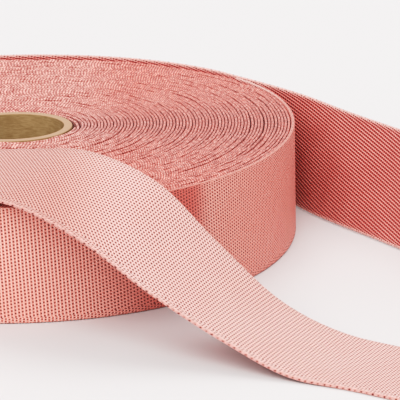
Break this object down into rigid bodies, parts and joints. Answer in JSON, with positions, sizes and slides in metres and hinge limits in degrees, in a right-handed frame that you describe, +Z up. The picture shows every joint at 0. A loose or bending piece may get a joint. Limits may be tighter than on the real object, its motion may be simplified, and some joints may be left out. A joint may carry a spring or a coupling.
{
  "type": "roll of polyester webbing",
  "caption": "Roll of flat woven polyester webbing on a cardboard core, its loose end looped round and laid back over the roll's front rim.",
  "frame": {"origin": "on the surface that the roll lies on, under the middle of the footprint of the roll and its loose end", "axes": "+Z up along the core's axis, -Y towards the rim that the loose end is laid over, +X towards the loop of the loose end"},
  "size_m": [0.3602, 0.3385, 0.0533],
  "materials": {
    "webbing": "matt woven polyester",
    "cardboard": "matt paper board"
  },
  "bodies": {
    "root": {"wound_roll": "webbing", "loose_end": "webbing", "cardboard_core": "cardboard"}
  },
  "joints": []
}
